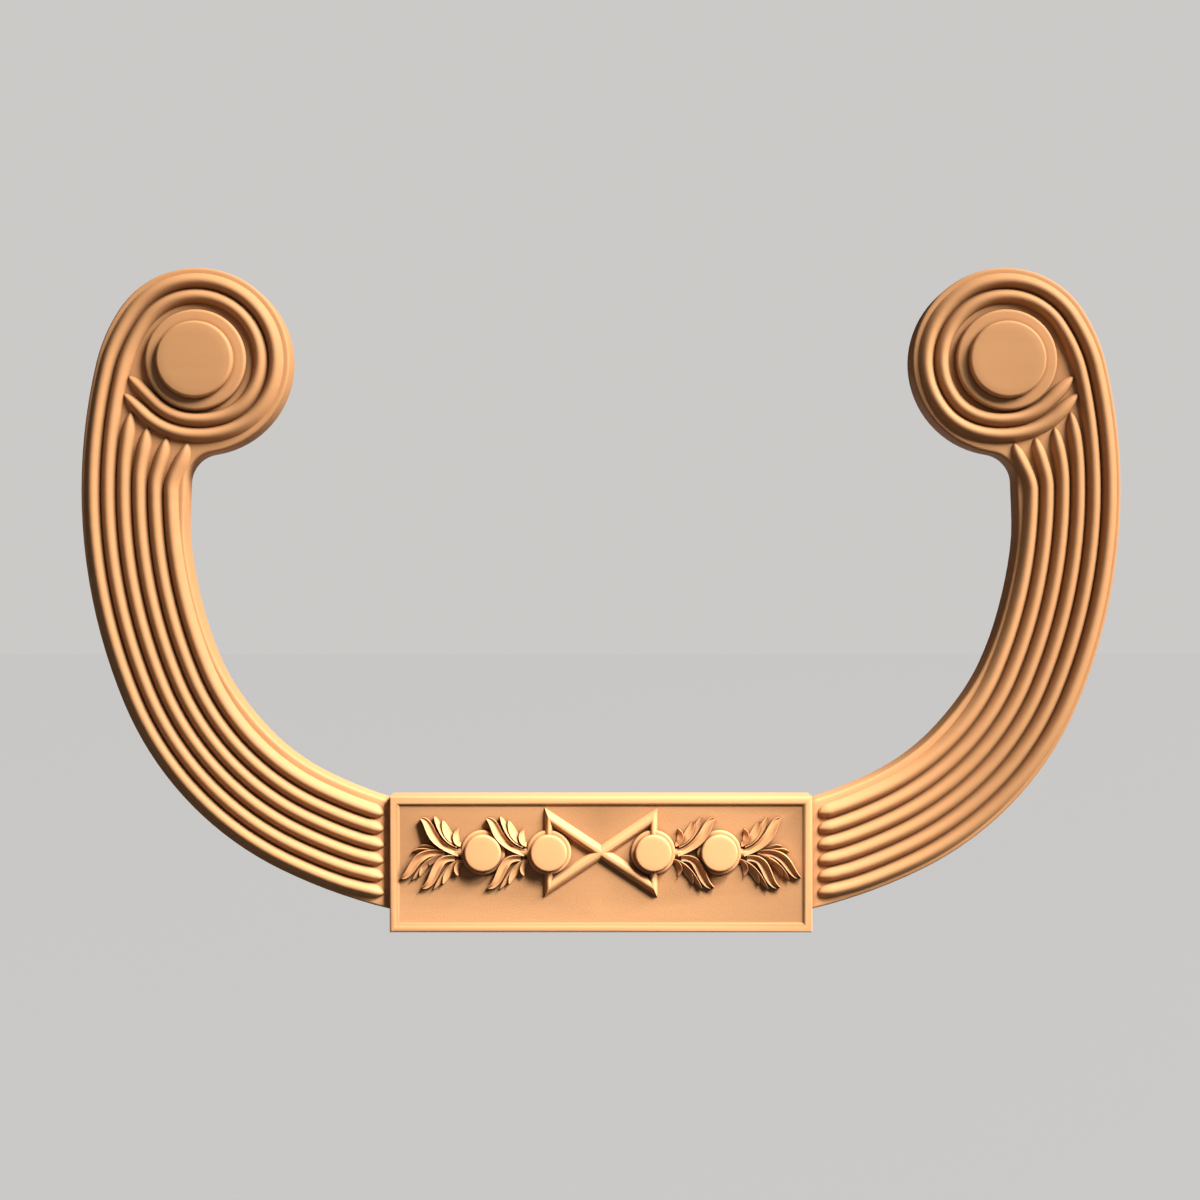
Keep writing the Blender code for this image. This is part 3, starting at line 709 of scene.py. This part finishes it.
# %% Crests of the lobes
UPPER_LEAF = (
    ((-0.0125, -0.0018), (-0.0300, 0.0046), (-0.0272, 0.0126), (-0.0312, 0.0170),
     0.0053, 1.00, 0.66),
    ((-0.0130, 0.0026), (-0.0186, 0.0046), (-0.0230, 0.0108), (-0.0244, 0.0180),
     0.0034, 0.88, 0.42),
    ((-0.0128, 0.0034), (-0.0182, 0.0058), (-0.0210, 0.0100), (-0.0202, 0.0160),
     0.0042, 0.84, 0.30),
    ((-0.0112, 0.0030), (-0.0150, 0.0036), (-0.0166, 0.0098), (-0.0122, 0.0120),
     0.0034, 0.78, 0.30),
)
LOWER_LEAF = (
    ((-0.0138, -0.0016), (-0.0275, 0.0002), (-0.0242, -0.0134), (-0.0308, -0.0174),
     0.0052, 1.00, 0.66),
    ((-0.0105, -0.0034), (-0.0170, -0.0048), (-0.0208, -0.0100), (-0.0246, -0.0182),
     0.0032, 0.90, 0.42),
    ((-0.0120, -0.0042), (-0.0160, -0.0052), (-0.0206, -0.0090), (-0.0198, -0.0158),
     0.0040, 0.84, 0.30),
    ((-0.0105, -0.0036), (-0.0140, -0.0040), (-0.0160, -0.0090), (-0.0122, -0.0116),
     0.0031, 0.76, 0.30),
)
FAR_LEAF = (
    ((-0.0190, 0.0008), (-0.0365, 0.0042), (-0.0358, -0.0086), (-0.0412, -0.0126),
     0.0050, 1.00, 0.66),
    ((-0.0190, -0.0002), (-0.0280, -0.0030), (-0.0320, -0.0065), (-0.0352, -0.0136),
     0.0032, 0.90, 0.42),
    ((-0.0220, -0.0010), (-0.0275, -0.0032), (-0.0324, -0.0060), (-0.0314, -0.0120),
     0.0038, 0.84, 0.30),
    ((-0.0205, -0.0008), (-0.0245, -0.0012), (-0.0284, -0.0034), (-0.0262, -0.0066),
     0.0028, 0.76, 0.30),
    ((-0.0210, 0.0008), (-0.0250, 0.0036), (-0.0285, 0.0048), (-0.0318, 0.0030),
     0.0028, 0.66, 0.36),
    ((-0.0230, 0.0008), (-0.0280, 0.0022), (-0.0320, 0.0030), (-0.0352, 0.0004),
     0.0026, 0.76, 0.36),
)


def crest(handles, share):
    """Point and heading on a cubic curve with four handles."""
    start, first, second, end = (Vector(handle) for handle in handles)
    rest = 1.0 - share
    place = start * rest ** 3 + first * 3 * rest ** 2 * share
    place += second * 3 * rest * share ** 2 + end * share ** 3
    ahead = (first - start) * rest ** 2 + (second - first) * 2 * rest * share
    ahead += (end - second) * share ** 2
    return place, ahead.normalized()


print("lobes in the three sprays:", len(UPPER_LEAF), len(LOWER_LEAF), len(FAR_LEAF))

# %% Section of a lobe
OUTER_FACE = ((0.0, -1.0), (0.0, 0.0), (0.015, 0.55), (0.045, 0.90))
CREST_PLACE = 0.10
HOLLOW_PLACE = 0.60
SLOPE_PLACE = 0.92
HOLLOW_FLOOR = 0.44
HOLLOW_CURVE = 1.6
HOLLOW_STEPS = 7
RIM_STEPS = 4
INNER_CORNER = 0.97
INNER_CORNER_RISE = 0.75


def lobe_section(rim):
    """Section from the outer foot over the crest to the inner foot, which has a rim or slope."""
    gouged = rim > HOLLOW_FLOOR
    lowest = min(rim, HOLLOW_FLOOR)
    place = HOLLOW_PLACE if gouged else SLOPE_PLACE
    points = list(OUTER_FACE)
    for i in range(HOLLOW_STEPS + 1):
        share = i / HOLLOW_STEPS
        across = CREST_PLACE + (place - CREST_PLACE) * share
        points.append((across, lowest + (1.0 - lowest) * (1.0 - share) ** HOLLOW_CURVE))
    if gouged:
        for i in range(1, RIM_STEPS + 1):
            share = i / RIM_STEPS
            across = place + (SLOPE_PLACE - place) * share
            points.append((across, lowest + (rim - lowest) * smoothstep(0.0, 1.0, share)))
    corner = (INNER_CORNER, points[-1][1] * INNER_CORNER_RISE)
    return points + [corner, (1.0, 0.0), (1.0, -1.0)]


print("points in a gouged lobe's section:", len(lobe_section(1.0)))

# %% Swell of a lobe
LEAF_RISE = 0.0043
ROOT_WIDTH = 0.65
ROOT_RISE = 0.55
ROOT_LENGTH = 0.4
TIP_START = 0.50
TIP_CURVE = 2.2
TIP_BLUNTNESS = 0.6
TIP_FALL = 0.35


def lobe_width(share):
    """Width along the crest, as a share: narrow at the root, closing to a blunt tip."""
    root = ROOT_WIDTH + (1.0 - ROOT_WIDTH) * smoothstep(0.0, ROOT_LENGTH, share)
    fall = max(share - TIP_START, 0.0) / (1.0 - TIP_START)
    return root * (1.0 - fall ** TIP_CURVE) ** TIP_BLUNTNESS


def lobe_height(share):
    """Height along the crest, as a share: low at the root, highest before the middle."""
    swell = ROOT_RISE + (1.0 - ROOT_RISE) * smoothstep(0.0, ROOT_LENGTH, share)
    return swell * (1.0 - TIP_FALL * share ** 2)


print("width at the tip's start:", round(lobe_width(TIP_START), 2))

# %% Lofting a lobe
LOBE_STATIONS = 26
TIP_END = 0.985
LEAF_ROOT = 0.0008


def carved_lobe(name, lobe, turn, disc):
    """Lobe of a leaf, lofted along its crest, its hollow on the disc's side."""
    handles = lobe[:4]
    width, rise, rim = lobe[4:]
    section = lobe_section(rim)
    bm = bmesh.new()
    rings = []
    for i in range(LOBE_STATIONS):
        share = TIP_END * i / (LOBE_STATIONS - 1)
        place, ahead = crest(handles, share)
        inward = Vector((ahead.y, -ahead.x)) * turn
        breadth = width * lobe_width(share)
        height = LEAF_RISE * rise * lobe_height(share)
        ring = []
        for across, up in section:
            spot = disc + place + inward * breadth * (across - CREST_PLACE)
            level = TABLET_FIELD + (height if up >= 0.0 else LEAF_ROOT) * up
            ring.append(bm.verts.new((spot.x, spot.y, level)))
        rings.append(ring)
    count = len(rings[0])
    for near, far in zip(rings, rings[1:]):
        for i in range(count):
            j = (i + 1) % count
            bm.faces.new((near[i], near[j], far[j], far[i]))
    bm.faces.new(rings[0])
    bm.faces.new(rings[-1])
    return add_solid(name, bm)


# %% Sprays of leaves
sprays = (
    ("inner_upper", UPPER_LEAF, 1.0, inner_disc),
    ("inner_lower", LOWER_LEAF, -1.0, inner_disc),
    ("outer_upper", UPPER_LEAF, 1.0, outer_disc),
    ("outer_lower", LOWER_LEAF, -1.0, outer_disc),
    ("outer_far", FAR_LEAF, -1.0, outer_disc),
)
for label, leaf, turn, disc in sprays:
    for number, lobe in enumerate(leaf, start=1):
        blanks.append(carved_lobe(f"{label}_lobe_{number}", lobe, turn, disc))
print("lobes on the left half:", sum(len(leaf) for _, leaf, _, _ in sprays))

# %% [markdown]
# A short round stem ties the sprays beside a disc to it, so that the roots of the lobes run
# into one soft swelling. It is a rounded bar again, with a rounded end.

# %% Stems
STEM_HALF_WIDTH = 0.0026
STEM_RISE = 0.0017
STEM_REACH = (-0.0175, -0.0002)
STEM_TIP = 0.0070
STEM_STEPS = 8

stem_section = ridge_section(
    "stem_section", STEM_HALF_WIDTH, STEM_RISE, LEAF_ROOT, BAR_CURVE
)
for name, disc in (("inner_stem", inner_disc), ("outer_stem", outer_disc)):
    reach = Vector(STEM_REACH)
    path = [(disc, 1.0)]
    for i in range(STEM_STEPS + 1):
        left = STEM_TIP * (1.0 - i / STEM_STEPS)
        place = disc + reach * (1.0 - left / reach.length)
        path.append((place, tip_scale(left, STEM_TIP)))
    blanks.append(drawn_bar(name, path, stem_section, TABLET_FIELD))
print("blanks to join to the board:", len(blanks))

# %% [markdown]
# All these blanks are one piece of wood, so they are joined with an exact Boolean union, which
# leaves a single closed skin with no faces inside. The half is then mirrored, stood upright
# with its back towards +Y, and its modifiers are applied, so that the piece is a plain mesh.

# %% Join, mirror and stand upright
MIRROR_WELD = 0.00002


def carve(board, blanks):
    """Mesh of the whole onlay: the board with its blanks, and its mirror image."""
    additions = bpy.data.collections.new("additions")
    workshop.children.link(additions)
    for blank in blanks:
        workshop.objects.unlink(blank)
        additions.objects.link(blank)
    union = board.modifiers.new("carving", "BOOLEAN")
    union.operation = "UNION"
    union.solver = "EXACT"
    union.operand_type = "COLLECTION"
    union.collection = additions
    mirror = board.modifiers.new("right_half", "MIRROR")
    mirror.use_axis = (True, False, False)
    mirror.use_bisect_axis = (True, False, False)
    mirror.use_bisect_flip_axis = (True, False, False)
    mirror.merge_threshold = MIRROR_WELD
    bpy.context.view_layer.update()
    shape = board.evaluated_get(bpy.context.evaluated_depsgraph_get())
    return bpy.data.meshes.new_from_object(shape)


carved = carve(board, blanks)
for item in list(workshop.all_objects):
    bpy.data.objects.remove(item, do_unlink=True)
for vertex in carved.vertices:
    across, up, out = vertex.co
    vertex.co = (across, -out, up)
onlay = bpy.data.objects.new("carved_onlay", carved)
bpy.context.scene.collection.objects.link(onlay)
carved.calc_loop_triangles()
print("carved onlay:", len(carved.loop_triangles), "triangles")

# %% [markdown]
# Curved parts are shaded smooth and true corners stay sharp, by the angle between faces. The
# piece then takes the frame's place: it rides on its body, and the frame's solid is hidden.

# %% Shading and place in the frame
SHARP_ANGLE = 28.0

carved.shade_smooth()
carved.set_sharp_from_angle(angle=math.radians(SHARP_ANGLE))
print("sharp edges:", sum(edge.use_edge_sharp for edge in carved.edges))
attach(onlay, "root")
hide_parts("scroll_onlay")

# %% [markdown]
# The wood is a golden tan, close-grained and sanded, with a thin satin finish. Up close it has
# faint long grain across the board. Its grooves are painted a little browner where they are
# closed in: that is painted shade, standing for the shade that falls in them. The tablet's field
# is left matt and sandy, and its colour is painted darker as shade. All of it is built from object
# coordinates and the shape itself, so it needs no picture and no unwrapping.

# %% Wood finish
WOOD_ROUGHNESS = 0.52
WOOD_SHINE = 0.12
GRAIN_STRETCH = (9.0, 160.0, 160.0)


def add_node(tree, kind, **sockets):
    """Node with values set on its named sockets."""
    node = tree.nodes.new(kind)
    for name, value in sockets.items():
        node.inputs[name].default_value = value
    return node


def grain(tree, coordinates):
    """Faint streaks along X, as a number from 0 to 1."""
    stretch = tree.nodes.new("ShaderNodeMapping")
    stretch.inputs["Scale"].default_value = GRAIN_STRETCH
    streaks = add_node(tree, "ShaderNodeTexNoise", Scale=1.0, Detail=5.0, Roughness=0.6)
    tree.links.new(coordinates, stretch.inputs["Vector"])
    tree.links.new(stretch.outputs["Vector"], streaks.inputs["Vector"])
    return streaks.outputs["Fac"]


wood = bpy.data.materials.new("golden_wood")
wood.use_nodes = True
tree = wood.node_tree
shader = tree.nodes["Principled BSDF"]
shader.inputs["Roughness"].default_value = WOOD_ROUGHNESS
shader.inputs["Specular IOR Level"].default_value = WOOD_SHINE
place = tree.nodes.new("ShaderNodeTexCoord").outputs["Object"]
streaks = grain(tree, place)
print("grain is", round(GRAIN_STRETCH[1] / GRAIN_STRETCH[0]), "times longer than wide")

# %% Colour of the wood
WOOD_LIGHT = (0.700, 0.345, 0.148, 1.0)
WOOD_DARK = (0.672, 0.327, 0.138, 1.0)
GRAIN_SPAN = (0.35, 0.70)

tone = tree.nodes.new("ShaderNodeValToRGB")
tone.color_ramp.elements[0].position = GRAIN_SPAN[0]
tone.color_ramp.elements[0].color = WOOD_DARK
tone.color_ramp.elements[1].position = GRAIN_SPAN[1]
tone.color_ramp.elements[1].color = WOOD_LIGHT
tree.links.new(streaks, tone.inputs["Fac"])
print("light and dark grain:", WOOD_LIGHT[:3], WOOD_DARK[:3])

# %% Painted shade in the grooves
# The groove colour is painted shade: a browner tone mixed in where the grooves are closed in.
GROOVE_PAINTED_SHADE = (0.170, 0.082, 0.036, 1.0)
GROOVE_REACH = 0.0055
GROOVE_SAMPLES = 8
GROOVE_SPAN = (0.30, 0.88)

# Ambient occlusion finds how closed in a spot is, and the closed-in spots get the painted shade.
openness = tree.nodes.new("ShaderNodeAmbientOcclusion")
openness.inputs["Distance"].default_value = GROOVE_REACH
openness.samples = GROOVE_SAMPLES
groove_shade_share = tree.nodes.new("ShaderNodeMapRange")
groove_shade_share.inputs["From Min"].default_value = GROOVE_SPAN[0]
groove_shade_share.inputs["From Max"].default_value = GROOVE_SPAN[1]
tree.links.new(openness.outputs["AO"], groove_shade_share.inputs["Value"])

colour = tree.nodes.new("ShaderNodeMix")
colour.data_type = "RGBA"
colour.inputs["A"].default_value = GROOVE_PAINTED_SHADE
tree.links.new(groove_shade_share.outputs["Result"], colour.inputs["Factor"])
tree.links.new(tone.outputs["Color"], colour.inputs["B"])
tree.links.new(colour.outputs["Result"], shader.inputs["Base Color"])
print("grooves darken within", GROOVE_REACH * 1000, "mm")

# %% Fine surface
SAND_SCALE = 2600.0
SAND_HEIGHT = 0.00006
SAND_STRENGTH = 0.35

sand = add_node(tree, "ShaderNodeTexNoise", Scale=SAND_SCALE, Detail=3.0)
bump = tree.nodes.new("ShaderNodeBump")
bump.inputs["Strength"].default_value = SAND_STRENGTH
bump.inputs["Distance"].default_value = SAND_HEIGHT
tree.links.new(place, sand.inputs["Vector"])
tree.links.new(sand.outputs["Fac"], bump.inputs["Height"])
tree.links.new(bump.outputs["Normal"], shader.inputs["Normal"])
print("material nodes:", len(tree.nodes))

# %% [markdown]
# The field of the tablet is matted: the carver stamps the ground with a small punch, so that it
# looks sandy beside the smooth discs and leaves. It takes a copy of the wood with a stronger grain
# of sand and less shine, and its colour is painted darker: painted shade for the recessed field.
# The flat faces at the field's level wear it, and so does the bead's inner slope, where the same
# painted shade darkens the slope that falls to the field.

# %% Matted ground, painted darker as shade
# The shade factor below darkens the field's colour: painted shade for the recessed field and the
# bead's inner slope.
GROUND_PAINTED_SHADE = 0.64
GROUND_DEPTH = 0.00016
GROUND_STRENGTH = 0.9
GROUND_ROUGHNESS = 0.7

ground = wood.copy()
ground.name = "matted_and_shaded_wood"
# The copy's grain colours are darkened here, which is painted shade, and its sand is made
# stronger.
for node in ground.node_tree.nodes:
    if node.type == "VALTORGB":
        for element in node.color_ramp.elements:
            element.color = [channel * GROUND_PAINTED_SHADE for channel in element.color[:3]] + [1.0]
    if node.type == "BUMP":
        node.inputs["Strength"].default_value = GROUND_STRENGTH
        node.inputs["Distance"].default_value = GROUND_DEPTH
    if node.type == "BSDF_PRINCIPLED":
        node.inputs["Roughness"].default_value = GROUND_ROUGHNESS
print("the ground is", round(1.0 - GROUND_PAINTED_SHADE, 2), "darker than the wood")

# %% Faces that wear it
FLAT_NORMAL = -0.999
SLOPE_NORMAL = -0.6
LEVEL_MARGIN = 0.0001
SLOPE_SPAN = (0.0032, 0.0070)
SLOPE_HEIGHT = 0.0013

carved.materials.clear()
carved.materials.append(wood)
carved.materials.append(ground)


def is_matted_and_shaded(face):
    """Whether a face is part of the field or of the bead's inner slope, which take painted shade.
    """
    across, out, up = face.center
    height = -out - TABLET_FIELD
    inset = min(TABLET_WIDTH / 2 - abs(across), TABLET_HEIGHT / 2 - abs(up))
    if abs(height) < LEVEL_MARGIN and face.normal.y < FLAT_NORMAL:
        return inset > 0.0
    on_slope = SLOPE_SPAN[0] < inset < SLOPE_SPAN[1] and face.normal.y < SLOPE_NORMAL
    return on_slope and 0.0 < height < SLOPE_HEIGHT


# These faces wear the darker copy: painted shade on the field and on the bead's inner slope.
matted_and_shaded = [face for face in carved.polygons if is_matted_and_shaded(face)]
for face in matted_and_shaded:
    face.material_index = 1
print("matted faces:", len(matted_and_shaded))

# %% [markdown]
# The onlay is shown as it is fixed, upright, over a plain pale floor. The light is plain and
# soft: a wide key from the upper right rakes the relief, a little fill comes from the camera's
# side, and a small spot from the upper right lifts the tablet, as a jeweller's lamp would.

# %% Floor
FLOOR_DROP = 0.45
FLOOR_SIZE = 40.0
FLOOR_GREY = (0.415, 0.408, 0.398, 1.0)
FLOOR_ROUGHNESS = 0.9


def plain_material(name, colour, roughness):
    """Material of one colour."""
    material = bpy.data.materials.new(name)
    material.use_nodes = True
    surface = material.node_tree.nodes["Principled BSDF"]
    surface.inputs["Base Color"].default_value = colour
    surface.inputs["Roughness"].default_value = roughness
    return material


bpy.ops.mesh.primitive_plane_add(size=FLOOR_SIZE)
floor = bpy.context.object
floor.name = "floor"
floor.location.z = frame_low.z - FLOOR_DROP
floor.data.materials.append(plain_material("pale_floor", FLOOR_GREY, FLOOR_ROUGHNESS))
floor.visible_diffuse = False
print("floor level:", round(floor.location.z, 3), "m")

# %% Key and fill
KEY_SIDE = (0.66, -0.40, 0.62)
KEY_STRENGTH = 6.8
KEY_SPREAD = 28.0
FILL_SIDE = (0.10, -1.00, 0.15)
FILL_STRENGTH = 0.12
FILL_SPREAD = 60.0


def soft_sun(name, towards_light, strength, spread):
    """Wide, distant light that comes from the given side."""
    lamp = bpy.data.lights.new(name, "SUN")
    lamp.energy = strength
    lamp.angle = math.radians(spread)
    holder = bpy.data.objects.new(name, lamp)
    holder.rotation_euler = (-Vector(towards_light)).to_track_quat("-Z", "Y").to_euler()
    bpy.context.scene.collection.objects.link(holder)
    return holder


soft_sun("key", KEY_SIDE, KEY_STRENGTH, KEY_SPREAD)
soft_sun("fill", FILL_SIDE, FILL_STRENGTH, FILL_SPREAD)
print("key is", round(KEY_STRENGTH / FILL_STRENGTH), "times as strong as the fill")

# %% Spot on the tablet
SPOT_PLACE = (0.32, -0.40, 0.60)
SPOT_TARGET = (0.0, -0.02, 0.0)
SPOT_POWER = 46.0
SPOT_CONE = 25.0
SPOT_FADE = 0.6
SPOT_SIZE = 0.08


def soft_spot(name, place, target, power, cone):
    """Round lamp with a faded cone, aimed at one part of the onlay."""
    lamp = bpy.data.lights.new(name, "SPOT")
    lamp.energy = power
    lamp.spot_size = math.radians(cone)
    lamp.spot_blend = SPOT_FADE
    lamp.shadow_soft_size = SPOT_SIZE
    holder = bpy.data.objects.new(name, lamp)
    holder.location = place
    holder.visible_camera = False
    aim = Vector(target) - Vector(place)
    holder.rotation_euler = aim.to_track_quat("-Z", "Y").to_euler()
    bpy.context.scene.collection.objects.link(holder)
    return holder


soft_spot("tablet_spot", SPOT_PLACE, SPOT_TARGET, SPOT_POWER, SPOT_CONE)
print("spot distance:", round((Vector(SPOT_PLACE) - Vector(SPOT_TARGET)).length, 2), "m")

# %% [markdown]
# Behind it all is a plain pale grey, like a paper roll. The camera sees that grey, but only a
# faint share of it lights the onlay, because a bright background on every side would wash out
# the grooves. A Light Path node keeps the two apart.

# %% Background
BACKGROUND = (0.60, 0.59, 0.575, 1.0)
AMBIENT = (0.05, 0.05, 0.052, 1.0)

world = bpy.data.worlds.new("studio")
world.use_nodes = True
bpy.context.scene.world = world
sky = world.node_tree
shown = sky.nodes["Background"]
shown.inputs["Color"].default_value = BACKGROUND
dim = sky.nodes.new("ShaderNodeBackground")
dim.inputs["Color"].default_value = AMBIENT
rays = sky.nodes.new("ShaderNodeLightPath")
mix = sky.nodes.new("ShaderNodeMixShader")
sky.links.new(rays.outputs["Is Camera Ray"], mix.inputs["Fac"])
sky.links.new(dim.outputs["Background"], mix.inputs[1])
sky.links.new(shown.outputs["Background"], mix.inputs[2])
sky.links.new(mix.outputs["Shader"], sky.nodes["World Output"].inputs["Surface"])
bpy.context.scene.view_settings.view_transform = "Standard"
print("share of the background that lights the onlay:", round(AMBIENT[0] / BACKGROUND[0], 2))
